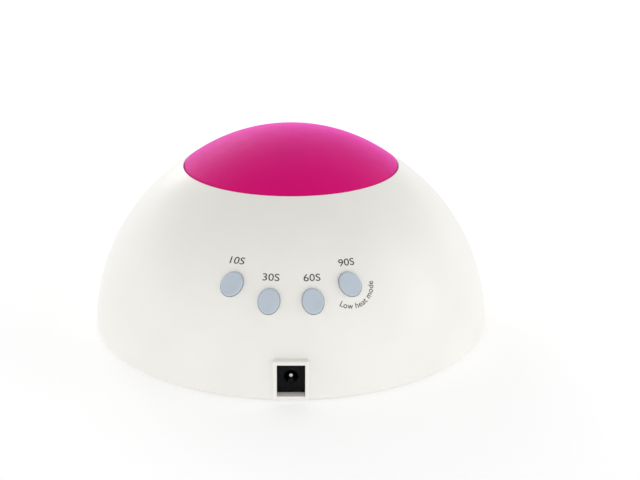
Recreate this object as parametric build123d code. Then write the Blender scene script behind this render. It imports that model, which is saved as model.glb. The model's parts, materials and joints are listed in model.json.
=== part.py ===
"""UV LED nail lamp: a round dome-shaped lamp head that lifts off a flat base tray.

Frame: millimetres, +Z up, origin on the table under the dome's axis. The hand opening faces -Y.
The four timer buttons and the power socket are on the back, towards +Y.
"""

from math import acos, cos, hypot, radians, sin, sqrt
import os

from build123d import *

os.makedirs("parts", exist_ok=True)

# ---------------------------------------------------------------- driving dimensions
base_diameter = 209.0      # across the dome at the table
total_height = 103.1       # table to the crown of the pad
foot_gap = 1.0             # the rim stands this far off the table on the feet
wall = 2.4                 # outer shell
rim_chamfer = 0.5          # round the dome's bottom edge
beyond = 120.0             # outside the lamp in any direction, where cuts start or end

dome_centre_z = -4.0       # the sphere's centre sits a little below the table, which gives the wall its draft
dome_centre = Vector(0, 0, dome_centre_z)
dome_radius = hypot(base_diameter / 2, foot_gap - dome_centre_z)
dome_inner = dome_radius - wall

pad_radius = 55.5          # rose silicone pad, edge of its recess
pad_rim_z = dome_centre_z + sqrt(dome_radius**2 - pad_radius**2)
pad_crown = total_height - pad_rim_z
pad_top_radius = (pad_radius**2 + pad_crown**2) / (2 * pad_crown)
pad_gap = 0.15             # seam between pad and shell
pad_skin = 3.0             # silicone thickness over the hollow
pad_skirt = 4.0            # width of the skirt that the pad stands on
recess_depth = 4.2         # shell floor under the pad, measured along the radius
peg_circle = 30.0          # three pull-through pegs hold the pad
peg_radius = 2.0
peg_hole_radius = peg_radius + 0.2
barb_radius = 3.2
barb_tip_radius = 1.4
barb_length = 2.6
pad_edge_radius = 0.7
recess_edge_radius = 0.45

arch_half_width = 70.0     # hand opening
arch_height = 56.0
arch_foot = 5.0            # upright part of the opening's sides
arch_edge_radius = 1.0
arch_back = -20.0          # the opening's prism starts here, inside the chamber

liner_centre = Vector(0, -6, dome_centre_z)   # moved forwards, so that the electronics have room at the back
liner_radius = 88.0
liner_wall = 1.6
liner_inner = liner_radius - liner_wall

tray_thickness = 1.6
tray_radius = 101.7
mirror_radius = 84.0
mirror_thickness = 0.4
lip_radius = base_diameter / 2 + 0.4          # front threshold, as far out as the socket frame at the back
tray_top = foot_gap + tray_thickness

frame_bottom = 2.8         # ring that closes the bottom of the head
frame_top = 5.6
frame_radius = 101.6
frame_inner = 86.0         # about the liner's centre
flange_top = frame_top + 1.4                  # liner flange, clamped between the ring and the screw posts
flange_radius = 98.5
flange_inner = liner_radius - 2.4             # about the liner's centre

post_circle = 95.5
post_angles = (25, 75, 118)                   # from the back, on both sides
post_radius = 3.4
post_pilot_radius = 1.05
post_pilot_depth = 9.0
base_screw_radius = 1.0
base_screw_length = 12.0
base_screw_head = (2.5, 1.5)                  # radius, height
base_screw_recess = (2.8, 1.7)                # radius, depth
cross_slot = (0.7, 1.4)                       # width of a screw's cross slot, and twice its depth
magnet_circle = 94.0
magnet_angles = (52, 99)
magnet_radius = 5.0
magnet_height = 3.0
magnet_gap = 0.05
keeper_height = 0.8
foot_spots = ((-22, 86), (22, 86), (-76, 44), (76, 44), (-76, -44), (76, -44), (0, -88))
foot_radius = 5.0
foot_recess = 0.6
foot_edge_radius = 0.3

button_tilt = 30.0         # the button axes rise this much from level, and are parallel
button_rise = 1.8          # cap face above the dome
button_half_width = 5.0
button_half_height = 6.05
button_edge = 0.8
button_gap = 0.2
button_flange_width = 1.25  # flange behind the shell
button_flange = 1.0
button_flange_gap = 0.3
# name: (azimuth to the right, elevation, anticlockwise lean of the oval), degrees, seen from behind
buttons = {"10s": (-17.9, 31.6, -30), "30s": (-6.3, 28.0, -9), "60s": (6.3, 28.0, 9), "90s": (17.9, 31.6, 30)}

board_face = 90.0          # front of the control board, from the dome's centre along the button axis
board_thickness = 1.6
board_width = 68.0
board_low, board_high = -16.0, 20.0
board_corner_radius = 2.0
board_screw_spots = ((-31, 15.5), (31, 15.5), (-31, -12), (31, -12))
board_screw_radius = 0.95
board_screw_length = 5.0   # past the board's front
board_screw_head = (2.2, 1.6)
board_hole_radius = 1.2
board_post_radius = 2.75
board_pilot_radius = 1.0
solder_gap = 0.02          # under each part on a board
power_row = 12.6           # board height of the power parts, above the buttons
chip_row = -12.0           # board height of the controller, below the buttons
switch_size = 6.0
switch_top = board_face + 3.4
switch_cover_thickness = 0.3
plunger_radius = 1.7
plunger_bore_radius = plunger_radius + 0.1
plunger_bore_depth = 1.0
plunger_top = board_face + 4.5

socket_half_width = 6.55   # opening for the power plug
socket_top = 18.9
socket_floor = 3.0
socket_border = 1.9
socket_front = lip_radius
socket_corner_radius = 1.0
socket_edge_chamfer = 0.35
jack_face = 100.5          # the jack's face, set back in its frame
jack_face_depth = 4.0
jack_back = 86.5
jack_half_width = 4.6      # of the body behind the face
jack_half_height = 5.5
jack_axis_z = 11.0
jack_bore_radius = 3.2     # for a plug of 5.5 mm
jack_bore_depth = 10.0
jack_lead_in = 0.5
pin_radius = 1.05
pin_root_radius = 1.4
pin_set_back = 1.4         # of the pin's tip from the jack's face
lug_spacing = 3.0          # solder lugs, each side of the jack's axis
lug_end = 83.2

led_rings = {              # ring: (elevation, azimuths from the back), degrees, about the liner's centre
    "lower": (15, [10 + 20 * k for k in range(-6, 6)]),
    "middle": (38, [12 + 24 * k for k in range(-6, 6)]),
    "upper": (60, [30 + 60 * k for k in range(6)]),
    "crown": (80, [120 * k for k in range(3)]),
}
led_board_radius = 5.5
led_board_base = liner_radius + 0.25
led_board_top = led_board_base + 1.0
led_body_radius = 2.9
led_body_height = 1.5
led_lens_radius = 2.5
led_hole_radius = 3.2
led_cup_radius = 5.0       # shallow countersink round each lamp, inside the liner
wire_radius = 0.6
wire_level = led_board_top + wire_radius + 0.25   # clears the rims of the flat boards

sensor_elevation = 68.0    # hand sensor, over the hand opening
sensor_spacing = 10.0
sensor_base = 91.0         # board, from the liner's centre
sensor_tip = 85.0          # tips of the infrared parts
sensor_part_radius = 2.5
sensor_lead_level = 94.0

standing = (Align.CENTER, Align.CENTER, Align.MIN)   # centred, and resting on its own plane

# ---------------------------------------------------------------- frames of reference
control = Plane(
    origin=dome_centre,
    x_dir=(-1, 0, 0),
    z_dir=(0, cos(radians(button_tilt)), sin(radians(button_tilt))),
)


def direction(azimuth, elevation):
    """Unit vector; azimuth 0 is the back (+Y) and 90 is +X."""
    a, e = radians(azimuth), radians(elevation)
    return Vector(sin(a) * cos(e), cos(a) * cos(e), sin(e))


def round_spots(radius, angles):
    """Mirrored points on a circle round the dome's axis, angles from the back."""
    return [(s * radius * sin(radians(a)), radius * cos(radians(a))) for a in angles for s in (-1, 1)]


def rod(x, y, z0, z1, radius):
    """Upright cylinder from z0 to z1."""
    return Pos(x, y, z0) * Cylinder(radius, z1 - z0, align=standing)


def block(x0, x1, y0, y1, z0, z1):
    """Box between two limits on each axis."""
    return Pos(x0, y0, z0) * Box(x1 - x0, y1 - y0, z1 - z0, align=(Align.MIN, Align.MIN, Align.MIN))


def radial_rod(centre, towards, r0, r1, radius, top_radius=None):
    """Cylinder or cone along a direction from a centre, between two distances from it."""
    seat = Plane(origin=centre + towards * r0, z_dir=towards)
    if top_radius is None:
        return seat * Cylinder(radius, r1 - r0, align=standing)
    return seat * Cone(radius, top_radius, r1 - r0, align=standing)


def rods(spots, z0, z1, radius):
    return [rod(x, y, z0, z1, radius) for x, y in spots]


def control_rod(x, y, h0, h1, radius):
    """Cylinder on the control board's axis, at board position x, y, between two heights."""
    return control * rod(x, y, h0, h1, radius)


def board_screw_rods(h0, h1, radius):
    return [control_rod(x, y, h0, h1, radius) for x, y in board_screw_spots]


def ball(centre, radius):
    return Pos(*centre) * Sphere(radius)


def sphere_arc(radius, r_from, r_to, centre_z=dome_centre_z):
    """Arc of a sphere's outline in the (radius, height) plane."""
    a, b = acos(r_from / radius), acos(r_to / radius)

    def at(angle):
        return (radius * cos(angle), centre_z + radius * sin(angle))

    return ThreePointArc(at(a), at((a + b) / 2), at(b))


def arch_prism(extra):
    """The hand opening as a solid, grown by extra: a half-elliptical arch on short upright sides."""
    half_width, height = arch_half_width + extra, arch_height - arch_foot + extra
    profile = Ellipse(half_width, height) + Pos(0, -height / 2) * Rectangle(2 * half_width, height)
    front = Plane(origin=(0, arch_back, foot_gap + arch_foot), x_dir=(1, 0, 0), z_dir=(0, -1, 0))
    return extrude(front * profile, amount=beyond + arch_back)


def ring_plate(outer_radius, inner_radius, z0, z1):
    """C-shaped plate between a circle on the dome's axis and one on the liner's centre, open at the front."""
    plate = rod(0, 0, z0, z1, outer_radius)
    return plate - rod(liner_centre.X, liner_centre.Y, z0 - 1, z1 + 1, inner_radius) - arch_prism(0)


def group(shapes):
    """Several separate solids as one node."""
    return Compound(children=[s for shape in shapes for s in shape.solids()])


def cross_slots(length):
    """Cross recess of a screw head, centred on the origin."""
    slot_width, depth = cross_slot
    return Box(length, slot_width, depth) + Box(slot_width, length, depth)


# ---------------------------------------------------------------- outer shell and pad
def button_spot(name):
    """Board position (x, y) of a button, and the direction of the dome's surface there."""
    azimuth, elevation, _ = buttons[name]
    surface = direction(-azimuth, elevation)
    local = control.to_local_coords(dome_centre + surface * dome_radius)
    return local.X, local.Y, surface


def button_prism(name, extra, h0, h1):
    """A button's oval, grown by extra, between two heights on the control axis."""
    x, y, _ = button_spot(name)
    outline = Rot(0, 0, buttons[name][2]) * Ellipse(button_half_width + extra, button_half_height + extra)
    return control * Pos(x, y, h0) * extrude(outline, amount=h1 - h0)


def shell_section():
    """Half section of the shell in the (radius, height) plane, with the stepped recess for the pad."""
    floor = dome_radius - recess_depth
    recess_radius = pad_radius + pad_gap
    recess_rim = (recess_radius, dome_centre_z + sqrt(dome_radius**2 - recess_radius**2))
    corner = (recess_radius, dome_centre_z + sqrt(floor**2 - recess_radius**2))
    step_radius = recess_radius + wall
    step_top = (step_radius, dome_centre_z + sqrt(dome_inner**2 - step_radius**2))
    under = floor - wall
    under_radius = recess_radius - 0.5
    under_edge = (under_radius, dome_centre_z + sqrt(under**2 - under_radius**2))
    step_low = (step_radius, under_edge[1])
    inner_base = sqrt(dome_inner**2 - (foot_gap - dome_centre_z) ** 2)
    outline = [
        Line((inner_base, foot_gap), (base_diameter / 2, foot_gap)),
        sphere_arc(dome_radius, base_diameter / 2, recess_radius),
        Line(recess_rim, corner),
        sphere_arc(floor, recess_radius, 0),
        Line((0, dome_centre_z + floor), (0, dome_centre_z + under)),
        sphere_arc(under, 0, under_radius),
        Line(under_edge, step_low),
        Line(step_low, step_top),
        sphere_arc(dome_inner, step_radius, inner_base),
    ]
    face = Face(Wire(outline))
    sharp = [v for v in face.vertices() if abs(v.X - recess_radius) < 0.01 and v.Y > corner[1] + 1]
    face = fillet(sharp, recess_edge_radius)
    rim = [v for v in face.vertices() if abs(v.X - base_diameter / 2) < 0.01]
    return chamfer(rim, rim_chamfer)


def socket_frame():
    """Raised square frame round the power socket, cut back over the ring and the liner's flange."""
    half = socket_half_width + socket_border
    start, ring_side = 92, 102
    frame = block(-half, half, start, socket_front, foot_gap, socket_top + socket_border)
    frame = fillet(frame.edges().filter_by(Axis.Y).group_by(Axis.Z)[-1], socket_corner_radius)
    front_edges = frame.faces().sort_by(Axis.Y)[-1].edges()
    frame = chamfer(front_edges.filter_by(lambda e: e.center().Z > foot_gap + 0.1), socket_edge_chamfer)
    return frame - block(-half - 1, half + 1, start - 1, ring_side, foot_gap - 1, flange_top + 0.05)


def outer_shell():
    shell = revolve(Plane.XZ * shell_section(), Axis.Z)
    inside = ball(dome_centre, dome_inner + 0.6)
    post_spots = round_spots(post_circle, post_angles)
    posts = [post & inside for post in rods(post_spots, flange_top, 60, post_radius)]
    board_posts = [post & inside for post in board_screw_rods(board_face, 104, board_post_radius)]
    shell = shell + socket_frame()
    shell = shell + posts + board_posts

    cuts = [block(-socket_half_width, socket_half_width, 80, beyond, foot_gap - 2, socket_top)]
    cuts += [button_prism(name, button_gap, board_face + 3, beyond) for name in buttons]
    cuts += rods(post_spots, flange_top - 1, flange_top + post_pilot_depth, post_pilot_radius)
    cuts += board_screw_rods(board_face - 1, board_face + board_screw_length + 0.2, board_pilot_radius)
    cuts += [Rot(0, 0, 120 * k) * rod(0, peg_circle, 80, 100, peg_hole_radius) for k in range(3)]
    cuts += [arch_prism(0)]
    shell = shell - cuts
    arch_edges = [e for e in shell.edges() if on_dome_front(e) and e.length > 2]
    return fillet(arch_edges, arch_edge_radius)


def on_dome_front(edge):
    """True for the outer edges of the hand opening."""
    spots = [edge @ t for t in (0.0, 0.3, 0.7, 1.0)]
    on_dome = all(abs((p - dome_centre).length - dome_radius) < 0.01 for p in spots)
    return on_dome and max(p.Z for p in spots) > 3 and max(p.Y for p in spots) < -30


def top_pad():
    """Silicone pad: a domed skin on a skirt that stands in the shell's recess, with three pegs under it."""
    edge_radius = pad_radius - pad_gap
    centre_z = total_height - pad_top_radius
    floor = dome_radius - recess_depth + 0.05
    inner_top = pad_top_radius - pad_skin
    skirt_inner = edge_radius - pad_skirt

    def top_z(r):
        return centre_z + sqrt(pad_top_radius**2 - r**2)

    def floor_z(r):
        return dome_centre_z + sqrt(floor**2 - r**2)

    def under_z(r):
        return centre_z + sqrt(inner_top**2 - r**2)

    outline = [
        sphere_arc(pad_top_radius, 0, edge_radius, centre_z),
        Line((edge_radius, top_z(edge_radius)), (edge_radius, floor_z(edge_radius))),
        sphere_arc(floor, edge_radius, skirt_inner),
        Line((skirt_inner, floor_z(skirt_inner)), (skirt_inner, under_z(skirt_inner))),
        sphere_arc(inner_top, skirt_inner, 0, centre_z),
        Line((0, under_z(0)), (0, top_z(0))),
    ]
    face = Face(Wire(outline))
    rim = [v for v in face.vertices() if abs(v.X - edge_radius) < 0.01 and v.Y > floor_z(edge_radius) + 1]
    pad = revolve(Plane.XZ * fillet(rim, pad_edge_radius), Axis.Z)
    # each peg drops through a hole in the shell and ends in a barb under it
    shell_under = dome_radius - recess_depth - wall
    barb_top = dome_centre_z + sqrt(shell_under**2 - (peg_circle + 4) ** 2) - 0.3
    peg = rod(0, peg_circle, barb_top - 0.5, under_z(peg_circle) + 1, peg_radius)
    barb = Cone(barb_tip_radius, barb_radius, barb_length, align=standing)
    barb = Pos(0, peg_circle, barb_top - barb_length) * barb
    return pad + [Rot(0, 0, 120 * k) * (peg + barb) for k in range(3)]


# ---------------------------------------------------------------- buttons and switches
def button_cap(name):
    """Oval cap: face parallel to the dome under it, a flange behind the shell, and a stem to the switch."""
    x, y, surface = button_spot(name)
    flange_reach = hypot(x, y) + button_half_height + button_flange_width
    flange_top_height = sqrt(dome_inner**2 - flange_reach**2) - button_flange_gap
    flange_base = flange_top_height - button_flange
    body = button_prism(name, 0, flange_base + 0.2, beyond)
    face_plane = Plane(origin=dome_centre + surface * (dome_radius + button_rise), z_dir=surface)
    body -= face_plane * Box(beyond, beyond, beyond, align=standing)
    face = body.faces().sort_by(lambda f: control.to_local_coords(f.center()).Z)[-1]
    body = fillet(face.edges(), button_edge)
    body += button_prism(name, button_flange_width, flange_base, flange_top_height)
    return body + control_rod(x, y, plunger_top + 0.05, flange_top_height - 0.3, plunger_radius)


def on_board(x, y, dx, dy, h0, h1):
    """Box standing on the control board, centred at x, y."""
    return control * Pos(x, y, h0) * Box(dx, dy, h1 - h0, align=standing)


def plunger_bore(name):
    x, y, _ = button_spot(name)
    return control_rod(x, y, switch_top - plunger_bore_depth, switch_top + 1, plunger_bore_radius)


def switch_body(name):
    x, y, _ = button_spot(name)
    top = switch_top - switch_cover_thickness
    return on_board(x, y, switch_size, switch_size, board_face, top) - plunger_bore(name)


def switch_cover(name):
    x, y, _ = button_spot(name)
    low = switch_top - switch_cover_thickness
    return on_board(x, y, switch_size, switch_size, low, switch_top) - plunger_bore(name)


def switch_plunger(name):
    x, y, _ = button_spot(name)
    return control_rod(x, y, switch_top - 0.45, plunger_top, plunger_radius)


# ---------------------------------------------------------------- control board
def control_board():
    middle = (board_low + board_high) / 2
    board = on_board(0, middle, board_width, board_high - board_low, board_face - board_thickness, board_face)
    board = fillet(upright_edges(board), board_corner_radius)
    return board - board_screw_rods(board_face - 3, board_face + 1, board_hole_radius)


def upright_edges(shape):
    """Edges along the control axis."""
    return shape.edges().filter_by(lambda e: abs(e.tangent_at(0).dot(control.z_dir)) > 0.99)


def board_screws():
    head_radius, head_height = board_screw_head
    head_top = board_face - board_thickness - 0.02
    head_low = head_top - head_height
    screws = []
    for x, y in board_screw_spots:
        head = control_rod(x, y, head_low, head_top, head_radius)
        thread = control_rod(x, y, head_top - 0.5, board_face + board_screw_length, board_screw_radius)
        screws.append(head + thread - control * Pos(x, y, head_low) * cross_slots(3.0))
    return group(screws)


def capacitor():
    """Electrolytic can, lying on the board."""
    radius, length = 3.15, 11
    can = control * Pos(0, power_row, board_face + radius + 0.15) * Rot(0, 90, 0) * Cylinder(radius, length)
    return fillet(can.edges(), 0.5)


def soldered(x, y, dx, dy, height):
    """Flat part on the board's front, by its centre, plan size and height."""
    return on_board(x, y, dx, dy, board_face + solder_gap, board_face + height)


def controller_chip():
    return soldered(0, chip_row, 10, 6, 1.6)


def driver_transistors():
    return group([soldered(x, power_row, 6.5, 6.0, 2.3) for x in (13, 21.5)])


def power_inductor():
    return fillet(upright_edges(soldered(-14, power_row, 7.5, 7.5, 4.2)), 1.8)


def chip_resistors():
    one_side = ((10, chip_row), (14, chip_row), (18, -9), (22, -9), (18, 2), (18, 5))
    return group([soldered(s * x, y, 2.0, 1.25, 0.6) for s in (-1, 1) for x, y in one_side])


# ---------------------------------------------------------------- power socket
def jack_rod(y_front, y_back, radius):
    """Cylinder on the jack's axis, from its front end to its back end."""
    front = Plane(origin=(0, y_front, jack_axis_z), z_dir=(0, -1, 0))
    return front * Cylinder(radius, y_front - y_back, align=standing)


def socket_housing():
    inset = 0.1
    half = socket_half_width - inset
    face_back = jack_face - jack_face_depth
    bore_end = jack_face - jack_bore_depth
    face = block(-half, half, face_back, jack_face, socket_floor + inset, socket_top - inset)
    low, high = jack_axis_z - jack_half_height, jack_axis_z + jack_half_height
    body = block(-jack_half_width, jack_half_width, jack_back, face_back, low, high)
    bore = jack_rod(jack_face, bore_end, jack_bore_radius)
    mouth = Plane(origin=(0, jack_face, jack_axis_z), z_dir=(0, -1, 0))
    lead_in = mouth * Cone(jack_bore_radius + jack_lead_in, jack_bore_radius, jack_lead_in, align=standing)
    leaf_slot = block(-1.4, 1.4, bore_end, jack_face - 1, jack_axis_z - 3.8, jack_axis_z - 2.5)
    root_hole = jack_rod(bore_end + 1, bore_end - 9, pin_root_radius)
    return face + body - [bore, lead_in, leaf_slot, root_hole]


def socket_pin():
    """Pin that the plug slides over, with a thicker root pressed into the housing."""
    floor = jack_face - jack_bore_depth
    pin = jack_rod(jack_face - pin_set_back, floor - 1, pin_radius)
    pin = fillet(pin.edges().group_by(Axis.Y)[-1], 0.5)
    return pin + jack_rod(floor, jack_back, pin_root_radius)


def socket_contacts():
    """The sprung leaf that meets the plug's sleeve, and two solder lugs behind the housing."""
    leaf = block(-1.2, 1.2, jack_face - 9.5, jack_face - 1.6, jack_axis_z - 3.6, jack_axis_z - 3.3)
    lug_low, lug_high = jack_axis_z - 3, jack_axis_z - 2.6
    spots = (-lug_spacing, lug_spacing)
    lugs = [block(x - 1.1, x + 1.1, lug_end, jack_back - 0.02, lug_low, lug_high) for x in spots]
    return group([leaf, *lugs])


# ---------------------------------------------------------------- bottom of the head
def jack_space(z0):
    """Room for the power socket in the parts round it."""
    half = socket_half_width + 0.25
    return block(-half, half, 84, 110, z0, 22)


def magnet_spots():
    return round_spots(magnet_circle, magnet_angles)


def base_frame():
    """C-shaped ring under the head, with magnet bosses, and the bridge and sill under the power socket."""
    ring = ring_plate(frame_radius, frame_inner, frame_bottom, frame_top)
    boss_top, pocket_top = frame_bottom + magnet_height + 1.2, frame_bottom + magnet_height + 2 * magnet_gap
    bosses = rods(magnet_spots(), frame_bottom, boss_top, magnet_radius + 1.6)
    bridge = block(-10, 10, 88, 101.0, foot_gap, frame_top)
    sill_half = socket_half_width - 0.12
    sill = block(-sill_half, sill_half, 100, socket_front - 0.1, foot_gap, socket_floor)
    cuts = [jack_space(socket_floor)]
    cuts += rods(magnet_spots(), frame_bottom - 1, pocket_top, magnet_radius + magnet_gap)
    post_spots = round_spots(post_circle, post_angles)
    recess_radius, recess_height = base_screw_recess
    cuts += rods(post_spots, 0, 12, 1.5)
    cuts += rods(post_spots, 0, frame_bottom + recess_height, recess_radius)
    return ring + bosses + bridge + sill - cuts


def frame_magnets():
    low = frame_bottom + magnet_gap
    return group(rods(magnet_spots(), low, low + magnet_height, magnet_radius))


def base_screws():
    head_radius, head_height = base_screw_head
    head_low = frame_bottom + 0.15
    screws = []
    for x, y in round_spots(post_circle, post_angles):
        head = rod(x, y, head_low, head_low + head_height, head_radius)
        thread = rod(x, y, head_low + 1, head_low + base_screw_length, base_screw_radius)
        screws.append(head + thread - Pos(x, y, head_low) * cross_slots(3.2))
    return group(screws)


# ---------------------------------------------------------------- reflector and lamps
def led_directions(ring):
    elevation, azimuths = led_rings[ring]
    return [direction(a, elevation) for a in azimuths]


def sensor_plane(distance):
    """Plane square to the hand sensor's line of sight, at a distance from the liner's centre."""
    towards = direction(180, sensor_elevation)
    return Plane(origin=liner_centre + towards * distance, x_dir=(1, 0, 0), z_dir=towards)


def reflector_liner():
    """Bright inner dome with the collar of the hand opening, a flange at its foot and holes for the lamps."""
    outside = ball(liner_centre, liner_radius) + arch_prism(liner_wall)
    outside = outside & ball(dome_centre, dome_inner - 0.25)
    liner = outside - (ball(liner_centre, liner_inner) + arch_prism(0))
    liner -= block(-beyond, beyond, -beyond, beyond, -beyond, frame_top)
    liner += ring_plate(flange_radius, flange_inner, frame_top, flange_top)
    cuts = [jack_space(0)]
    cuts += rods(round_spots(post_circle, post_angles), 0, 12, 1.6)
    cuts += rods(magnet_spots(), 0, 12, magnet_radius + 2.0)
    cup_low, cup_high = liner_inner - 0.4, liner_inner + 0.6
    for ring in led_rings:
        for d in led_directions(ring):
            cuts.append(radial_rod(liner_centre, d, liner_inner - 3, liner_radius + 1, led_hole_radius))
            cuts.append(radial_rod(liner_centre, d, cup_low, cup_high, led_cup_radius, led_hole_radius))
    for side in (-1, 1):
        cuts.append(sensor_plane(80) * rod(side * sensor_spacing / 2, 0, 0, 10, sensor_part_radius + 0.3))
    return liner - cuts


def lamp_rods(ring, r0, r1, radius):
    return group([radial_rod(liner_centre, d, r0, r1, radius) for d in led_directions(ring)])


def led_boards(ring):
    return lamp_rods(ring, led_board_base, led_board_top, led_board_radius)


def led_packages(ring):
    return lamp_rods(ring, led_board_base - led_body_height, led_board_base - solder_gap, led_body_radius)


def led_lenses(ring):
    """Half balls on the packages, towards the liner's centre."""
    base = led_board_base - led_body_height - solder_gap
    lenses = []
    for d in led_directions(ring):
        seat = Plane(origin=liner_centre + d * base, z_dir=-d)
        dome = Sphere(led_lens_radius) - Box(9, 9, 9, align=(Align.CENTER, Align.CENTER, Align.MAX))
        lenses.append(seat * dome)
    return group(lenses)


def wire(start, middle, end):
    """Insulated wire on a circular arc through three points."""
    path = ThreePointArc(start, middle, end)
    section = Plane(origin=path @ 0, z_dir=path % 0) * Circle(wire_radius)
    return sweep(section, path=path)


def link_wire(d1, d2):
    """Wire over the liner between two neighbouring lamp boards, from solder pad to solder pad."""
    pad_reach = 2.2    # a wire ends this far from the middle of a lamp board
    angle = acos(max(-1.0, min(1.0, d1.dot(d2))))

    def at(t):
        mixed = d1 * (sin((1 - t) * angle) / sin(angle)) + d2 * (sin(t * angle) / sin(angle))
        return liner_centre + mixed * wire_level

    share = pad_reach / wire_level / angle
    return wire(at(share), at(0.5), at(1 - share))


def led_wiring():
    """Wires from lamp to lamp in each ring, and one hop from each ring to the next."""
    wires = []
    hop = {ring: led_directions(ring) for ring in led_rings}
    for ring in hop.values():
        wires += [link_wire(a, b) for a, b in zip(ring, ring[1:])]
    wires.append(link_wire(hop["lower"][0], hop["middle"][1]))
    wires.append(link_wire(hop["middle"][9], hop["upper"][1]))
    wires.append(link_wire(hop["upper"][5], hop["crown"][0]))
    return group(wires)


def board_back(x, y):
    """Solder point on the back of the control board."""
    return control.from_local_coords(Vector(x, y, board_face - board_thickness - wire_radius - 0.05))


def led_supply_leads():
    """Two leads from the upper ring to the control board."""
    leads = []
    for x, d in ((-12, direction(30, 60)), (12, direction(-30, 60))):
        start = liner_centre + d * wire_level + Vector(0, 2.5, 0)
        end = board_back(x, 16)
        rise = 2.2    # of the lead's middle, away from the liner
        middle = (start + end) * 0.5 + (start + end - liner_centre * 2).normalized() * rise
        leads.append(wire(start, middle, end))
    return group(leads)


def sensor_lead():
    """Three cores over the top of the liner, from the sensor's board to the control board."""
    start, end = 180 - sensor_elevation - 3, 38.6    # degrees up from the back
    leads = []
    for x in (-1.4, 0, 1.4):
        def at(angle):
            a = radians(angle)
            return liner_centre + Vector(x, sensor_lead_level * cos(a), sensor_lead_level * sin(a))

        leads.append(wire(at(start), at((start + end) / 2), at(end)))
    return group(leads)


def socket_leads():
    """Two leads from the solder lugs up to the control board."""
    leads = []
    for side in (-1, 1):
        start = Vector(side * lug_spacing, 84.6, jack_axis_z - 1.9)
        end = board_back(side * 4, board_low + 2)
        leads.append(wire(start, Vector(side * 4.2, 83.5, 18), end))
    return group(leads)


def sensor_board():
    width, height, thickness = 20, 11, 1.2
    board = sensor_plane(sensor_base) * Box(width, height, thickness, align=standing)
    return fillet(board.edges().filter_by(lambda e: e.length < thickness + 0.1), 1.0)


def sensor_eye(side):
    """5 mm infrared part that looks down into the chamber through a hole in the liner."""
    length = sensor_base - sensor_tip - sensor_part_radius - solder_gap
    seat = sensor_plane(sensor_tip + sensor_part_radius) * Pos(side * sensor_spacing / 2, 0, 0)
    return seat * Cylinder(sensor_part_radius, length, align=standing) + seat * Sphere(sensor_part_radius)


# ---------------------------------------------------------------- base tray
def base_tray():
    """Flat tray under the head, with a threshold across the hand opening and recesses for what it carries."""
    tray = rod(0, 0, foot_gap, tray_top, tray_radius)
    lip_half = arch_half_width - 0.4
    lip = rod(0, 0, foot_gap, tray_top, lip_radius) & block(-lip_half, lip_half, -beyond, -60, 0, 10)
    tray = tray + lip
    mirror_floor = tray_top - mirror_thickness
    recess = rod(liner_centre.X, liner_centre.Y, mirror_floor, tray_top + 1, mirror_radius + 0.1)
    bridge_notch = block(-10.4, 10.4, 87.6, beyond, 0, 10)
    cuts = [recess, bridge_notch]
    cuts += rods(magnet_spots(), tray_top - keeper_height, tray_top + 1, magnet_radius + 0.1)
    cuts += rods(foot_spots, 0, foot_gap + foot_recess, foot_radius + 0.1)
    return tray - cuts


def tray_mirror():
    low = tray_top - mirror_thickness + 0.02
    return rod(liner_centre.X, liner_centre.Y, low, tray_top, mirror_radius)


def tray_keepers():
    low = tray_top - keeper_height + 0.02
    return group(rods(magnet_spots(), low, tray_top, magnet_radius))


def tray_feet():
    feet = rods(foot_spots, 0, foot_gap + foot_recess - 0.02, foot_radius)
    return group([fillet(foot.edges().group_by(Axis.Z)[0], foot_edge_radius) for foot in feet])


# ---------------------------------------------------------------- write the parts
parts = {
    "outer_shell": outer_shell(),
    "top_pad": top_pad(),
    "reflector_liner": reflector_liner(),
    "base_frame": base_frame(),
    "base_screws": base_screws(),
    "frame_magnets": frame_magnets(),
    "base_tray": base_tray(),
    "tray_mirror": tray_mirror(),
    "tray_keepers": tray_keepers(),
    "tray_feet": tray_feet(),
    "control_board": control_board(),
    "board_screws": board_screws(),
    "capacitor": capacitor(),
    "controller_chip": controller_chip(),
    "driver_transistors": driver_transistors(),
    "power_inductor": power_inductor(),
    "chip_resistors": chip_resistors(),
    "socket_housing": socket_housing(),
    "socket_pin": socket_pin(),
    "socket_contacts": socket_contacts(),
    "socket_leads": socket_leads(),
    "led_wiring": led_wiring(),
    "led_supply_leads": led_supply_leads(),
    "sensor_board": sensor_board(),
    "sensor_emitter": sensor_eye(-1),
    "sensor_receiver": sensor_eye(1),
    "sensor_lead": sensor_lead(),
}
for ring in led_rings:
    parts[f"led_boards_{ring}"] = led_boards(ring)
    parts[f"led_packages_{ring}"] = led_packages(ring)
    parts[f"led_lenses_{ring}"] = led_lenses(ring)
for name in buttons:
    parts[f"button_{name}"] = button_cap(name)
    parts[f"switch_{name}_body"] = switch_body(name)
    parts[f"switch_{name}_cover"] = switch_cover(name)
    parts[f"switch_{name}_plunger"] = switch_plunger(name)

for name, shape in parts.items():
    export_step(shape, f"parts/{name}.step")
    print(name, "volume", round(shape.volume), "solids", len(shape.solids()))
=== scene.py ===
"""Looks of a UV LED nail lamp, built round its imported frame: white dome, rose pad, oval timer buttons.

The frame is in metres. Values named in millimetres here are turned to metres with mm().
+Z is up, the hand opening faces -Y, and the timer buttons and the power socket face +Y.
"""

import json
from math import cos, pi, radians, sin, sqrt

import bpy
from mathutils import Matrix, Vector

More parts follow.
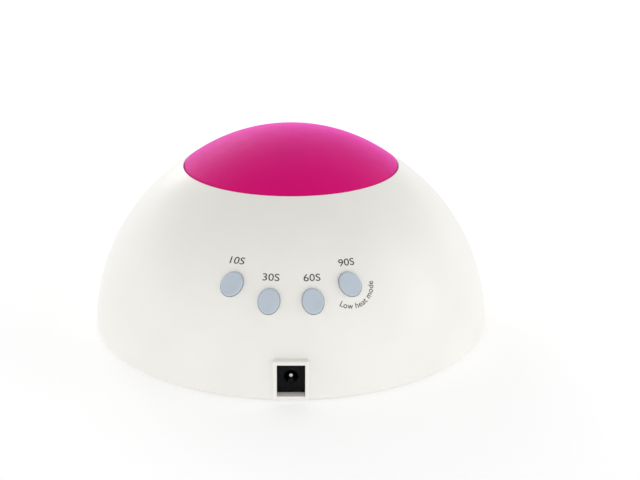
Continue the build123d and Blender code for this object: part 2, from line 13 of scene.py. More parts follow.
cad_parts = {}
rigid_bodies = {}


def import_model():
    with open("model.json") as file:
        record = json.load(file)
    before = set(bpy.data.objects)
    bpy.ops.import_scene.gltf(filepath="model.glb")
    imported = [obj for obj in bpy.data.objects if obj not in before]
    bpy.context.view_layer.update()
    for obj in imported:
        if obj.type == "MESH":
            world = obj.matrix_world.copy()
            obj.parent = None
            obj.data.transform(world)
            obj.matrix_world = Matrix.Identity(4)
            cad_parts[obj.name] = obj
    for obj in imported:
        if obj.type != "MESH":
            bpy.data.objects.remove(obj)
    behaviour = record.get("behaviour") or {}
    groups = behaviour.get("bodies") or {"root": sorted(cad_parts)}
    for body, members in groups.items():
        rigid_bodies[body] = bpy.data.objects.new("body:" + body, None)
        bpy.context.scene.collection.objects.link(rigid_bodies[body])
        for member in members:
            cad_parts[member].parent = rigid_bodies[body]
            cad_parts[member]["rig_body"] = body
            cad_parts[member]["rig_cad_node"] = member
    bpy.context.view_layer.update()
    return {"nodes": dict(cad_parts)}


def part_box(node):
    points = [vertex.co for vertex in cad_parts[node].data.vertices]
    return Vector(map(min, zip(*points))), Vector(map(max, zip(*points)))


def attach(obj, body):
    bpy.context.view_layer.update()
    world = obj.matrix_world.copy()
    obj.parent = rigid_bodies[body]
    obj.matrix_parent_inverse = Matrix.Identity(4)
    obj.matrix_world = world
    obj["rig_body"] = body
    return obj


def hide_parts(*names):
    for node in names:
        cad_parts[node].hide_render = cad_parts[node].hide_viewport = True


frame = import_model()
nodes = frame["nodes"]


def mm(value):
    return value / 1000


TOLERANCE = mm(0.01)   # for telling whether a corner lies on a plane or a ball


# ---------------------------------------------------------------- dimensions shared with the frame
DOME_CENTRE = Vector((0, 0, mm(-4.0)))
DOME_RADIUS = mm(104.62)
RECESS_FLOOR_RADIUS = mm(100.42)   # floor of the pad's recess, from the dome's centre
SHELL_UNDER_RADIUS = mm(98.02)     # underside of that floor
PAD_RADIUS = mm(55.35)
PAD_WALL = mm(3.0)
PAD_EDGE = mm(0.7)
PAD_SKIRT_CLEARANCE = mm(0.1)      # between the skirt's foot and the recess
PAD_SEGMENTS, PAD_RINGS = 192, 180   # round the ball that the pad's top is cut from
PEG_CIRCLE = mm(30.0)
PEG_RADIUS = mm(2.0)
PEG_ROOT = mm(0.8)                 # how far a peg goes into the skin
PEG_SIDES = 40
BARB_RADIUS = mm(3.2)
BARB_CLEARANCE = mm(0.3)           # between a barb and the shell's underside
BARB_SHOULDER = mm(0.5)
BARB_TAPER = mm(2.1)
BARB_REACH = mm(4.0)               # the shell is lower here, on the outer side of the barb
BARB_TIP = 0.44                    # the tip's width, as a part of the barb's
TOTAL_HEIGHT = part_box("top_pad")[1].z
LINER_CENTRE = Vector((0, mm(-6), mm(-4)))
LED_FACE_RADIUS = mm(86.73)        # front of the LED packages, from the liner's centre
LED_RINGS = {                      # ring: (elevation, azimuths from the back), degrees
    "lower": (15, [10 + 20 * k for k in range(-6, 6)]),
    "middle": (38, [12 + 24 * k for k in range(-6, 6)]),
    "upper": (60, [30 + 60 * k for k in range(6)]),
    "crown": (80, [120 * k for k in range(3)]),
}


def direction(azimuth, elevation):
    """Unit vector; azimuth 0 is the back (+Y) and 90 is +X."""
    a, e = radians(azimuth), radians(elevation)
    return Vector((sin(a) * cos(e), cos(a) * cos(e), sin(e)))


# ---------------------------------------------------------------- material helpers
def colour(code):
    """sRGB hex to a linear colour with alpha."""
    parts = [int(code[k:k + 2], 16) / 255 for k in (1, 3, 5)]
    return [c / 12.92 if c <= 0.04045 else ((c + 0.055) / 1.055) ** 2.4 for c in parts] + [1.0]


def add(tree, kind, inputs=(), **settings):
    """Adds a node; each input is a value to set or another node's output to link."""
    node = tree.nodes.new(kind)
    for key, value in settings.items():
        setattr(node, key, value)
    for key, value in dict(inputs).items():
        if isinstance(value, bpy.types.NodeSocket):
            tree.links.new(value, node.inputs[key])
        else:
            node.inputs[key].default_value = value
    return node


def start(name, **inputs):
    """A material with its shader's own values set.
    Returns the material, its tree, its shader and its Object coordinates."""
    material = bpy.data.materials.new(name)
    material.use_nodes = True
    tree = material.node_tree
    shader = tree.nodes["Principled BSDF"]
    for key, value in inputs.items():
        shader.inputs[key.replace("_", " ")].default_value = value
    place = add(tree, "ShaderNodeTexCoord").outputs["Object"]
    return material, tree, shader, place


def noise(tree, place, size_mm, detail):
    """Noise with features of about size_mm."""
    inputs = {"Vector": place, "Scale": 1000 / size_mm, "Detail": detail}
    return add(tree, "ShaderNodeTexNoise", inputs).outputs["Fac"]


NOISE_LOW, NOISE_HIGH = 0.3, 0.7   # noise seldom goes beyond these


def vary_colour(tree, shader, fac, *codes):
    """Base colour that runs through the given colours as fac goes from NOISE_LOW to NOISE_HIGH."""
    ramp = add(tree, "ShaderNodeValToRGB", {"Fac": fac})
    stops = ramp.color_ramp.elements
    while len(stops) < len(codes):
        stops.new(0.5)
    for k, code in enumerate(codes):
        stops[k].position = NOISE_LOW + (NOISE_HIGH - NOISE_LOW) * k / (len(codes) - 1)
        stops[k].color = colour(code)
    tree.links.new(ramp.outputs["Color"], shader.inputs["Base Color"])


def vary_roughness(tree, shader, fac, low, high):
    """Roughness that runs from low to high over the same span of fac."""
    limits = {"From Min": NOISE_LOW, "From Max": NOISE_HIGH, "To Min": low, "To Max": high}
    span = add(tree, "ShaderNodeMapRange", {"Value": fac, **limits})
    tree.links.new(span.outputs["Result"], shader.inputs["Roughness"])


def emboss(tree, shader, height, depth_mm):
    """Surface relief, depth_mm deep."""
    bump = add(tree, "ShaderNodeBump", {"Height": height, "Distance": mm(depth_mm), "Strength": 1.0})
    tree.links.new(bump.outputs["Normal"], shader.inputs["Normal"])


# ---------------------------------------------------------------- materials
def white_abs():
    """ABS, injection moulded in a finely etched tool: warm white, satin gloss, with an even grain.
    The etched grain is about 0.1 mm; it is drawn at 0.5 mm, so that it shows."""
    material, tree, shader, place = start("white_abs_moulded", IOR=1.54)
    vary_colour(tree, shader, noise(tree, place, 38, 3), "#EFEDE7", "#F3F1EC")
    vary_roughness(tree, shader, noise(tree, place, 9, 4), 0.29, 0.36)
    emboss(tree, shader, noise(tree, place, 0.5, 3), 0.006)
    return material


def rose_silicone():
    """Silicone rubber, compression moulded against a blasted tool: deep rose, a soft dull highlight.
    The blasted grain is about 0.05 mm; it is drawn at 0.4 mm."""
    material, tree, shader, place = start("rose_silicone_moulded", IOR=1.43, Specular_IOR_Level=0.12,
                                          Sheen_Weight=0.85, Sheen_Roughness=0.42)
    shader.inputs["Sheen Tint"].default_value = (1.0, 0.12, 0.79, 1.0)
    vary_colour(tree, shader, noise(tree, place, 26, 3), "#D4006E", "#DA0373")
    vary_roughness(tree, shader, noise(tree, place, 6, 4), 0.50, 0.58)
    emboss(tree, shader, noise(tree, place, 0.4, 3), 0.008)
    return material


def grey_abs():
    """ABS, moulded in a satin tool: cool grey key tops, slightly polished by fingers in patches."""
    material, tree, shader, place = start("grey_abs_moulded", IOR=1.54)
    vary_colour(tree, shader, noise(tree, place, 7, 3), "#B7C3CE", "#BDC8D3")
    vary_roughness(tree, shader, noise(tree, place, 2.5, 4), 0.30, 0.42)
    emboss(tree, shader, noise(tree, place, 0.3, 3), 0.004)
    return material


def black_nylon():
    """Glass-filled nylon, moulded: near black, dull, with a slightly fibrous grain."""
    material, tree, shader, place = start("black_nylon_moulded", IOR=1.53, Specular_IOR_Level=0.1)
    vary_colour(tree, shader, noise(tree, place, 1.5, 4), "#070708", "#0F0F10")
    vary_roughness(tree, shader, noise(tree, place, 0.8, 5), 0.42, 0.58)
    emboss(tree, shader, noise(tree, place, 0.25, 4), 0.010)
    return material


def metallised_abs():
    """ABS, vacuum metallised with aluminium: bright, with a faint orange-peel that softens it."""
    material, tree, shader, place = start("abs_vacuum_metallised", Metallic=1.0)
    vary_colour(tree, shader, noise(tree, place, 30, 3), "#D6D8DB", "#DEE0E2")
    vary_roughness(tree, shader, noise(tree, place, 12, 5), 0.18, 0.26)
    emboss(tree, shader, noise(tree, place, 2.2, 2), 0.020)
    return material


def polished_steel():
    """Stainless sheet, rolled bright: a clear mirror with fine hairlines along X from wiping."""
    material, tree, shader, place = start("stainless_bright_rolled", Metallic=1.0)
    lines = add(tree, "ShaderNodeMapping", {"Vector": place, "Scale": (0.04, 1.0, 1.0)}).outputs["Vector"]
    vary_colour(tree, shader, noise(tree, place, 40, 3), "#CFD1D4", "#D6D8DA")
    vary_roughness(tree, shader, noise(tree, lines, 0.7, 4), 0.08, 0.17)
    emboss(tree, shader, noise(tree, lines, 0.7, 4), 0.0015)
    return material


def nickel_plate():
    """Nickel plated metal: warm grey mirror, a little hazy."""
    material, tree, shader, place = start("nickel_plated", Metallic=1.0)
    vary_colour(tree, shader, noise(tree, place, 3, 3), "#C8C5BE", "#D2CFC8")
    vary_roughness(tree, shader, noise(tree, place, 1.2, 4), 0.16, 0.26)
    emboss(tree, shader, noise(tree, place, 0.6, 3), 0.002)
    return material


def zinc_steel():
    """Screw steel, zinc plated and passivated: blue-grey metal with a faint yellow and blue cast."""
    material, tree, shader, place = start("steel_zinc_plated", Metallic=1.0)
    vary_colour(tree, shader, noise(tree, place, 1.6, 3), "#A9ADB4", "#B9B7AC", "#B0B4BA")
    vary_roughness(tree, shader, noise(tree, place, 0.6, 4), 0.29, 0.40)
    emboss(tree, shader, noise(tree, place, 0.35, 3), 0.004)
    return material


def tinned_metal():
    """Stamped steel or brass, hot tinned: soft white metal with flow marks."""
    material, tree, shader, place = start("metal_tinned", Metallic=1.0)
    vary_colour(tree, shader, noise(tree, place, 2, 3), "#C2C3C4", "#CFCFCD")
    vary_roughness(tree, shader, noise(tree, place, 0.9, 4), 0.28, 0.42)
    emboss(tree, shader, noise(tree, place, 0.8, 2), 0.006)
    return material


def foot_rubber():
    """Nitrile rubber, moulded: dark grey and matt, with dust in its grain."""
    material, tree, shader, place = start("rubber_moulded", IOR=1.52)
    vary_colour(tree, shader, noise(tree, place, 2.5, 4), "#2B2B2C", "#3A3A3A")
    vary_roughness(tree, shader, noise(tree, place, 1.0, 4), 0.62, 0.80)
    emboss(tree, shader, noise(tree, place, 0.4, 3), 0.015)
    return material


WEAVE_PITCH = 0.5      # mm, from thread to thread
WAVE_PHASE = 20        # radians that a wave texture turns through in a length of 1, at scale 1


def green_mask():
    """Glass-epoxy board under green solder mask: glossy, with the woven glass just showing at 0.5 mm."""
    material, tree, shader, place = start("glass_epoxy_green_mask", IOR=1.55)
    bands = {"Vector": place, "Scale": 2 * pi * 1000 / WEAVE_PITCH / WAVE_PHASE, "Distortion": 0.4}
    weave = add(tree, "ShaderNodeTexWave", bands).outputs["Fac"]
    vary_colour(tree, shader, noise(tree, place, 6, 3), "#0B4B2B", "#0F5A34")
    vary_roughness(tree, shader, noise(tree, place, 2, 3), 0.28, 0.36)
    emboss(tree, shader, weave, 0.004)
    return material


def white_mask():
    """Aluminium LED board under white solder mask: smooth, slightly creamy gloss."""
    material, tree, shader, place = start("aluminium_white_mask", IOR=1.55)
    vary_colour(tree, shader, noise(tree, place, 3, 3), "#E6E5E0", "#EDECE8")
    vary_roughness(tree, shader, noise(tree, place, 1.2, 3), 0.28, 0.38)
    emboss(tree, shader, noise(tree, place, 0.6, 3), 0.004)
    return material


def led_ceramic():
    """LED package of pressed white ceramic: chalky and matt."""
    material, tree, shader, place = start("ceramic_pressed", IOR=1.6)
    vary_colour(tree, shader, noise(tree, place, 0.8, 3), "#E9E3C9", "#F0ECD8")
    vary_roughness(tree, shader, noise(tree, place, 0.5, 3), 0.45, 0.6)
    emboss(tree, shader, noise(tree, place, 0.2, 3), 0.004)
    return material


def clear_silicone():
    """LED lens of clear cast silicone: transparent, with a faint violet tint and a wavy cast surface."""
    material, tree, shader, place = start("silicone_clear_cast", IOR=1.42)
    shader.inputs["Transmission Weight"].default_value = 1.0
    vary_colour(tree, shader, noise(tree, place, 2, 2), "#EFEFFA", "#F8F8FD")
    vary_roughness(tree, shader, noise(tree, place, 1.0, 2), 0.02, 0.06)
    emboss(tree, shader, noise(tree, place, 1.2, 2), 0.004)
    return material


def dark_epoxy():
    """Infrared-pass epoxy, cast: almost black violet and glossy."""
    material, tree, shader, place = start("epoxy_infrared_pass", IOR=1.55)
    vary_colour(tree, shader, noise(tree, place, 1.5, 2), "#120812", "#1C0E1C")
    vary_roughness(tree, shader, noise(tree, place, 1.0, 2), 0.08, 0.14)
    emboss(tree, shader, noise(tree, place, 1.0, 2), 0.003)
    return material


def chip_epoxy():
    """Transfer-moulded epoxy of chips: charcoal, matt, a fine spark grain."""
    material, tree, shader, place = start("epoxy_transfer_moulded", IOR=1.55)
    vary_colour(tree, shader, noise(tree, place, 1.2, 4), "#1A1B1D", "#242527")
    vary_roughness(tree, shader, noise(tree, place, 0.5, 4), 0.5, 0.65)
    emboss(tree, shader, noise(tree, place, 0.15, 3), 0.006)
    return material


def ferrite():
    """Sintered ferrite core: dark grey, stony, with small pits."""
    material, tree, shader, place = start("ferrite_sintered", IOR=2.0)
    vary_colour(tree, shader, noise(tree, place, 0.9, 5), "#26272A", "#35363A")
    vary_roughness(tree, shader, noise(tree, place, 0.5, 4), 0.45, 0.7)
    emboss(tree, shader, noise(tree, place, 0.3, 5), 0.02)
    return material


def shrunk_sleeve():
    """PVC sleeve shrunk over an aluminium can: dark blue, glossy, slightly rippled."""
    material, tree, shader, place = start("pvc_sleeve_shrunk", IOR=1.53)
    vary_colour(tree, shader, noise(tree, place, 4, 3), "#10152B", "#181F3A")
    vary_roughness(tree, shader, noise(tree, place, 2, 3), 0.28, 0.36)
    emboss(tree, shader, noise(tree, place, 1.8, 2), 0.015)
    return material


def wire_pvc(name, *codes):
    """PVC wire insulation, extruded: soft gloss with lengthwise die streaks."""
    material, tree, shader, place = start(name, IOR=1.53)
    vary_colour(tree, shader, noise(tree, place, 5, 3), *codes)
    vary_roughness(tree, shader, noise(tree, place, 1.5, 3), 0.34, 0.46)
    emboss(tree, shader, noise(tree, place, 0.5, 3), 0.008)
    return material


def print_ink():
    """Pad-printed ink: dark grey, satin, with a slightly uneven film."""
    material, tree, shader, place = start("ink_pad_printed", IOR=1.5)
    vary_colour(tree, shader, noise(tree, place, 1.0, 3), "#35373B", "#404247")
    vary_roughness(tree, shader, noise(tree, place, 0.6, 3), 0.40, 0.5)
    emboss(tree, shader, noise(tree, place, 0.3, 2), 0.003)
    return material


def led_die():
    """Gallium nitride die under a phosphor film: pale yellow and slightly glittery."""
    material, tree, shader, place = start("led_die_phosphor", IOR=1.8)
    vary_colour(tree, shader, noise(tree, place, 0.3, 2), "#C9B25A", "#DCCB80")
    vary_roughness(tree, shader, noise(tree, place, 0.2, 2), 0.29, 0.4)
    return material


# ---------------------------------------------------------------- finishes of the frame's own nodes
white, nylon, nickel = white_abs(), black_nylon(), nickel_plate()
tinned, chips, screws = tinned_metal(), chip_epoxy(), zinc_steel()
white_wire = wire_pvc("wire_pvc_white", "#DAD9D3", "#E4E3DE")
red_wire = wire_pvc("wire_pvc_red", "#8E1210", "#A31815")
FINISHES = {
    "outer_shell": white, "base_frame": white, "base_tray": white,
    "top_pad": rose_silicone(), "button": grey_abs(),
    "reflector_liner": metallised_abs(), "tray_mirror": polished_steel(),
    "base_screws": screws, "board_screws": screws,
    "frame_magnets": nickel, "tray_keepers": nickel, "socket_pin": nickel,
    "tray_feet": foot_rubber(), "control_board": green_mask(), "sensor_board": green_mask(),
    "capacitor": shrunk_sleeve(), "controller_chip": chips, "driver_transistors": chips,
    "chip_resistors": chips, "power_inductor": ferrite(),
    "socket_housing": nylon, "socket_contacts": tinned, "socket_leads": red_wire,
    "led_wiring": white_wire, "led_supply_leads": red_wire, "sensor_lead": white_wire,
    "sensor_emitter": clear_silicone(), "sensor_receiver": dark_epoxy(),
    "led_boards": white_mask(), "led_packages": led_ceramic(), "led_lenses": clear_silicone(),
    "cover": tinned, "body": nylon, "plunger": nylon,
}


def finish_of(name):
    """A node's material, by its whole name, else by the first or last part of it."""
    head, _, tail = name.rpartition("_")
    return FINISHES.get(name) or FINISHES.get(head) or FINISHES[tail]


for name, node in nodes.items():
    node.data.materials.clear()
    node.data.materials.append(finish_of(name))


# ---------------------------------------------------------------- mesh helpers
def deselect():
    bpy.ops.object.select_all(action="DESELECT")


def active(name):
    """The object that the last operator made, under its own name and with its place in its mesh."""
    piece = bpy.context.object
    piece.name = name
    piece.data.name = name
    bpy.ops.object.transform_apply(location=True, rotation=True, scale=True)
    return piece


def pick(piece, test, domain):
    """In edit mode, selects the edges or faces all of whose corners pass the test."""
    bpy.ops.mesh.select_mode(type=domain)
    bpy.ops.mesh.select_all(action="DESELECT")
    bpy.ops.object.mode_set(mode="OBJECT")
    mesh = piece.data
    for part in {"EDGE": mesh.edges, "FACE": mesh.polygons}[domain]:
        part.select = all(test(mesh.vertices[v].co) for v in part.vertices)
    bpy.ops.object.mode_set(mode="EDIT")


def edit(piece):
    deselect()
    piece.select_set(True)
    bpy.context.view_layer.objects.active = piece
    bpy.ops.object.mode_set(mode="EDIT")
    bpy.ops.mesh.select_all(action="SELECT")


def object_mode():
    bpy.ops.object.mode_set(mode="OBJECT")


def extrude(z=0.0):
    bpy.ops.mesh.extrude_region_move(TRANSFORM_OT_translate={"value": (0, 0, z)})


def resize(x, y, z, centre):
    bpy.ops.transform.resize(value=(x, y, z), center_override=centre)


def apply_modifier(piece, kind, **settings):
    deselect()
    piece.select_set(True)
    bpy.context.view_layer.objects.active = piece
    modifier = piece.modifiers.new(kind.lower(), kind)
    for key, value in settings.items():
        setattr(modifier, key, value)
    bpy.ops.object.modifier_apply(modifier=modifier.name)


def join(pieces, name):
    deselect()
    for piece in pieces:
        piece.select_set(True)
    bpy.context.view_layer.objects.active = pieces[0]
    bpy.ops.object.join()
    return active(name)


def finish(piece, material, body, smooth_angle=30):
    """Material, shading, slot and body of a finished piece."""
    deselect()
    piece.select_set(True)
    bpy.context.view_layer.objects.active = piece
    bpy.ops.object.shade_smooth_by_angle(angle=radians(smooth_angle))
    piece.data.materials.clear()
    piece.data.materials.append(material)
    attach(piece, body)


# ---------------------------------------------------------------- rose pad
def sphere_height(centre, radius, r):
    """Height of a ball's surface at a distance r from the axis."""
    return centre.z + sqrt(radius**2 - r**2)


def pad_skin():
    """The silicone pad: a thick domed skin with a rounded rim, a skirt and three barbed pegs."""
    rim_z = sphere_height(DOME_CENTRE, DOME_RADIUS, PAD_RADIUS)
    crown = TOTAL_HEIGHT - rim_z
    top_radius = (PAD_RADIUS**2 + crown**2) / (2 * crown)
    centre = Vector((0, 0, TOTAL_HEIGHT - top_radius))
    deselect()
    bpy.ops.mesh.primitive_uv_sphere_add(segments=PAD_SEGMENTS, ring_count=PAD_RINGS, radius=top_radius,
                                         location=centre)
    pad = active("pad_skin")
    edit(pad)
    bpy.ops.mesh.bisect(plane_co=(0, 0, rim_z), plane_no=(0, 0, 1), clear_inner=True)
    skirt_foot = sphere_height(DOME_CENTRE, RECESS_FLOOR_RADIUS, PAD_RADIUS) + PAD_SKIRT_CLEARANCE
    extrude(z=skirt_foot - rim_z)
    pick(pad, lambda co: abs(co.z - rim_z) < TOLERANCE, "EDGE")
    bpy.ops.mesh.bevel(offset=PAD_EDGE, segments=6, affect="EDGES")
    object_mode()
    apply_modifier(pad, "SOLIDIFY", thickness=PAD_WALL, offset=-1)
    pegs = [pad_peg(120 * k, top_radius, centre) for k in range(3)]
    for peg in pegs:
        apply_modifier(pad, "BOOLEAN", operation="UNION", solver="EXACT", object=peg)
        bpy.data.objects.remove(peg)
    finish(pad, FINISHES["top_pad"], "head")
    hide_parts("top_pad")


def pad_peg(angle, top_radius, centre):
    """A peg that drops from the skin through the shell, with a barb that snaps out under it."""
    place = Matrix.Rotation(radians(angle), 3, "Z") @ Vector((0, PEG_CIRCLE, 0))
    root = sphere_height(centre, top_radius - PAD_WALL, PEG_CIRCLE) + PEG_ROOT
    under_shell = sphere_height(DOME_CENTRE, SHELL_UNDER_RADIUS, PEG_CIRCLE + BARB_REACH)
    barb_top = under_shell - BARB_CLEARANCE
    deselect()
    bpy.ops.mesh.primitive_circle_add(vertices=PEG_SIDES, radius=PEG_RADIUS, fill_type="NGON",
                                      location=(*place.xy, root))
    peg = active(f"pad_peg_{angle}")
    edit(peg)
    extrude(z=barb_top - root)
    level = Vector((*place.xy, barb_top))
    extrude()
    spread = BARB_RADIUS / PEG_RADIUS
    resize(spread, spread, 1, level)
    extrude(z=-BARB_SHOULDER)
    extrude(z=-BARB_TAPER)
    resize(BARB_TIP, BARB_TIP, 1, level)
    bpy.ops.mesh.select_all(action="SELECT")
    bpy.ops.mesh.normals_make_consistent(inside=False)
    object_mode()
    return peg


pad_skin()


# ---------------------------------------------------------------- printed legends
DIGIT_HEIGHT = mm(3.4)
INK_FILM = (mm(-0.06), mm(0.05))   # bottom and top of the ink, from the dome's surface
TIMES = {                          # words: (azimuth to the right from behind, elevation, slant, width)
    "10S": (-17.6, 37.9, 0.10, mm(7.2)),
    "30S": (-6.1, 34.2, 0.0, mm(7.8)),
    "60S": (6.4, 34.1, 0.0, mm(7.8)),
    "90S": (18.0, 37.4, 0.04, mm(7.6)),
}
MODE_SPOT = (17.9, 31.6)           # the low heat button
MODE_RADIUS = mm(11.6)             # baseline of the words that run round it
MODE_ARC = (-126, 2)               # degrees from its right, anticlockwise
MODE_HEIGHT = mm(2.75)


def lettering(words, width, height, slant=0.0):
    """Flat lettering as a closed slab, centred on x and standing on y = 0, as thick as the ink's film."""
    deselect()
    bpy.ops.object.text_add()
    text = bpy.context.object
    text.data.body = words
    text.data.shear = slant
    text.data.resolution_u = 6
    text.data.extrude = 0.5            # any thickness will do, since it is scaled to the film below
    bpy.ops.object.convert(target="MESH")
    slab = active("legend_" + words.split()[0])
    edit(slab)
    bpy.ops.mesh.remove_doubles(threshold=1e-5)
    object_mode()
    spread = [[v.co[k] for v in slab.data.vertices] for k in range(3)]
    low, high = [min(values) for values in spread], [max(values) for values in spread]
    film, thickness = INK_FILM[0], INK_FILM[1] - INK_FILM[0]
    for v in slab.data.vertices:
        x, y, z = [(v.co[k] - low[k]) / (high[k] - low[k]) for k in range(3)]
        v.co = ((x - 0.5) * width, y * height, film + z * thickness)
    return slab


def print_on_dome(slab, azimuth, elevation, lay):
    """Wraps flat lettering on the dome; lay turns its x and y to places right of and above the spot."""
    out = direction(-azimuth, elevation)
    right = direction(-azimuth - 90, 0)
    up = out.cross(right)
    for v in slab.data.vertices:
        across, along = lay(v.co.x, v.co.y)
        towards = (out * DOME_RADIUS + right * across + up * along).normalized()
        v.co = DOME_CENTRE + towards * (DOME_RADIUS + v.co.z)
    return slab


def timer_legends():
    """The four times, each over its button, and the words of the low heat mode round the last button."""
    slabs = []
    for words, (azimuth, elevation, slant, width) in TIMES.items():
        slab = lettering(words, width, DIGIT_HEIGHT, slant)
        slabs.append(print_on_dome(slab, azimuth, elevation, lambda x, y: (x, y - DIGIT_HEIGHT / 2)))
    arc_start, arc_end = [radians(angle) for angle in MODE_ARC]
    mode = lettering("Low heat mode", MODE_RADIUS * (arc_end - arc_start), MODE_HEIGHT)

    def round_the_button(x, y):
        angle = (arc_start + arc_end) / 2 + x / MODE_RADIUS
        return (MODE_RADIUS - y) * cos(angle), (MODE_RADIUS - y) * sin(angle)

    slabs.append(print_on_dome(mode, *MODE_SPOT, round_the_button))
    finish(join(slabs, "timer_legends"), print_ink(), "head", 20)


timer_legends()


# ---------------------------------------------------------------- light-emitting dies
LAND_RADIUS = mm(1.75)
LAND_FOOT = mm(-0.02)              # the land starts a little inside its package
LAND_THICKNESS = mm(0.06)
LAND_RIM, LAND_DISH = mm(0.25), mm(0.03)
DIE_SIZE = mm(0.95)
DIE_FLATNESS = 0.2                 # its height, as a part of its width
DIE_OFFSET = mm(0.6)               # from the middle of the package
DIE_MIDDLE = mm(0.11)              # height of its middle over the package
FILM_RIM, FILM_HEIGHT = mm(0.12), mm(0.04)


def led_die_pair(name):
    """Two dies side by side on a round metal land, at the origin, facing +Z."""
    deselect()
    bpy.ops.mesh.primitive_circle_add(vertices=24, radius=LAND_RADIUS, fill_type="NGON",
                                      location=(0, 0, LAND_FOOT))
    land = active(name)
    edit(land)
    extrude(z=LAND_THICKNESS)
    bpy.ops.mesh.inset(thickness=LAND_RIM)
    extrude(z=-LAND_DISH)
    object_mode()
    dies = [land]
    for side in (-1, 1):
        deselect()
        bpy.ops.mesh.primitive_cube_add(size=DIE_SIZE, scale=(1, 1, DIE_FLATNESS),
                                        location=(side * DIE_OFFSET, 0, DIE_MIDDLE))
        die = active("die")
        edit(die)
        pick(die, lambda co: co.z > DIE_MIDDLE, "FACE")
        bpy.ops.mesh.inset(thickness=FILM_RIM)
        extrude(z=FILM_HEIGHT)
        object_mode()
        dies.append(die)
    return join(dies, name)


def led_dies(ring):
    """The pair of dies of every lamp in a ring, under the lamp's lens."""
    elevation, azimuths = LED_RINGS[ring]
    pattern = led_die_pair(f"led_dies_{ring}")
    copies = []
    for azimuth in azimuths:
        out = direction(azimuth, elevation)
        turn = (-out).to_track_quat("Z", "Y").to_matrix().to_4x4()
        copy = pattern.copy()
        copy.data = pattern.data.copy()
        copy.data.transform(Matrix.Translation(LINER_CENTRE + out * LED_FACE_RADIUS) @ turn)
        bpy.context.scene.collection.objects.link(copy)
        copies.append(copy)
    bpy.data.objects.remove(pattern)
    finish(join(copies, f"led_dies_{ring}"), die_film, "head")


die_film = led_die()
for ring in LED_RINGS:
    led_dies(ring)


# ---------------------------------------------------------------- true curves on the two round shells
DOME_INNER = mm(102.22)
LINER_INNER, LINER_OUTER = mm(86.4), mm(88.0)
OUTWARDS, INWARDS = 1, -1


def rounded_copy(node, name, balls):
    """A merged copy of a round shell, shaded as the true balls: (centre, radius, way it faces)."""
    deselect()
    bpy.context.view_layer.objects.active = nodes[node]
    nodes[node].select_set(True)
    bpy.ops.object.duplicate()
    copy = bpy.context.object
    copy.parent = None
    copy.name = copy.data.name = name
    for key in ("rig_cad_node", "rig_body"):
        del copy[key]
    edit(copy)
    bpy.ops.mesh.customdata_custom_splitnormals_clear()
    bpy.ops.mesh.remove_doubles(threshold=1e-6)
    bpy.ops.mesh.dissolve_degenerate(threshold=1e-6)
    object_mode()
    finish(copy, finish_of(node), "head")
    mesh = copy.data
    normals = [corner.vector.copy() for corner in mesh.corner_normals]
    for face in mesh.polygons:
        for centre, radius, way in balls:
            spokes = [mesh.vertices[v].co - centre for v in face.vertices]
            if all(abs(spoke.length - radius) < 2 * TOLERANCE for spoke in spokes):
                for k, spoke in zip(face.loop_indices, spokes):
                    normals[k] = way * spoke.normalized()
    mesh.normals_split_custom_set(normals)
    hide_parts(node)


rounded_copy("outer_shell", "dome_shell",
             ((DOME_CENTRE, DOME_RADIUS, OUTWARDS), (DOME_CENTRE, DOME_INNER, INWARDS)))
rounded_copy("reflector_liner", "mirror_dome",
             ((LINER_CENTRE, LINER_OUTER, OUTWARDS), (LINER_CENTRE, LINER_INNER, INWARDS)))


# ---------------------------------------------------------------- floor, light and camera
FLOOR_WIDTH = 8
FLOOR_DROP = mm(0.1)               # keeps the floor clear of the feet's own faces
FLOOR_GLOW = 0.25                  # keeps the paper white round the lamp
SOFT_BOXES = {                     # name: (place, aim, (width, height), watts)
    "back_left_softbox": ((0.50, -1.2, 0.62), (0, 0, 0.08), (0.6, 0.6), 2.6),
    "right_softbox": ((-1.2, 0.25, 0.45), (0, 0, 0.05), (0.5, 0.9), 1.7),
}


def soft_box(name, place, aim, size, power):
    """Rectangular area light."""
    light = bpy.data.lights.new(name, "AREA")
    light.shape = "RECTANGLE"
    light.size, light.size_y = size
    light.energy = power
    lamp = bpy.data.objects.new(name, light)
    bpy.context.scene.collection.objects.link(lamp)
    lamp.location = place
    lamp.rotation_euler = (Vector(aim) - Vector(place)).to_track_quat("-Z", "Y").to_euler()


def studio():
    """Pale paper floor, paper sky and two soft boxes."""
    bpy.ops.mesh.primitive_plane_add(size=FLOOR_WIDTH, location=(0, 0, -FLOOR_DROP))
    floor = bpy.context.object
    floor.name = "floor"
    material, tree, shader, place = start("floor_paper", Roughness=0.9)
    vary_colour(tree, shader, noise(tree, place, 300, 2), "#F8F8F8", "#FAFAFA")
    shader.inputs["Emission Color"].default_value = (1, 1, 1, 1)
    shader.inputs["Emission Strength"].default_value = FLOOR_GLOW
    floor.data.materials.append(material)

    studio_sky()
    for name, settings in SOFT_BOXES.items():
        soft_box(name, *settings)
    bpy.context.scene.view_settings.view_transform = "Standard"


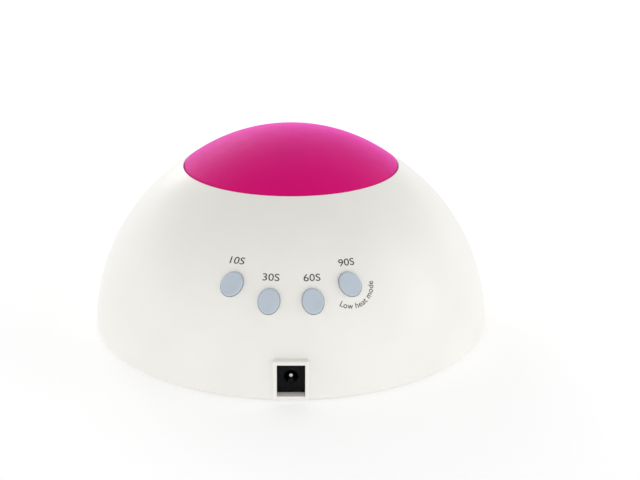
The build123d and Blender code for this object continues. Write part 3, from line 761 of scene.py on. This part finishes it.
SKY = ((-0.12, 0.55), (-0.02, 1.32), (0.30, 1.32), (0.85, 0.40))   # (height of the direction, brightness)
BRIGHT_SIDE = (0.75, -0.66, 0)     # horizontal direction of the brighter paper
SIDE_GAIN = (0.94, 1.08)           # from the dim side to the bright one


def studio_sky():
    """White paper all round, dim overhead and below the floor, and brighter towards the back left."""
    world = bpy.data.worlds.new("studio")
    bpy.context.scene.world = world
    world.use_nodes = True
    tree = world.node_tree
    towards = add(tree, "ShaderNodeTexCoord").outputs["Generated"]
    up = add(tree, "ShaderNodeSeparateXYZ", {"Vector": towards})
    height = add(tree, "ShaderNodeMapRange", {"Value": up.outputs["Z"], "From Min": -1, "From Max": 1})
    ramp = add(tree, "ShaderNodeValToRGB", {"Fac": height.outputs["Result"]})
    stops = ramp.color_ramp.elements
    while len(stops) < len(SKY):
        stops.new(0.5)
    for stop, (z, level) in zip(stops, SKY):
        stop.position = (z + 1) / 2
        stop.color = (level, level, level, 1)
    side = add(tree, "ShaderNodeVectorMath", {0: towards, 1: BRIGHT_SIDE}, operation="DOT_PRODUCT")
    limits = {"From Min": -1, "From Max": 1, "To Min": SIDE_GAIN[0], "To Max": SIDE_GAIN[1]}
    gain = add(tree, "ShaderNodeMapRange", {"Value": side.outputs["Value"], **limits})
    tree.links.new(ramp.outputs["Color"], tree.nodes["Background"].inputs["Color"])
    tree.links.new(gain.outputs["Result"], tree.nodes["Background"].inputs["Strength"])


EYE_PLACE = (0, mm(596.1), mm(259.4))
EYE_TILT = 20.07                   # degrees below the horizon
FOCAL_LENGTH, SENSOR_WIDTH = 67.0, 36.0
SIDE_SHIFT = 0.0453                # of the frame's width, so that the lamp stands left of the middle


def camera():
    """Looks from behind the lamp, slightly from above."""
    lens = bpy.data.cameras.new("camera")
    lens.lens = FOCAL_LENGTH
    lens.sensor_width = SENSOR_WIDTH
    lens.shift_x = SIDE_SHIFT
    lens.clip_start = 0.01
    eye = bpy.data.objects.new("camera", lens)
    bpy.context.scene.collection.objects.link(eye)
    eye.location = EYE_PLACE
    eye.rotation_euler = (radians(90 - EYE_TILT), 0, pi)
    bpy.context.scene.camera = eye


studio()
camera()
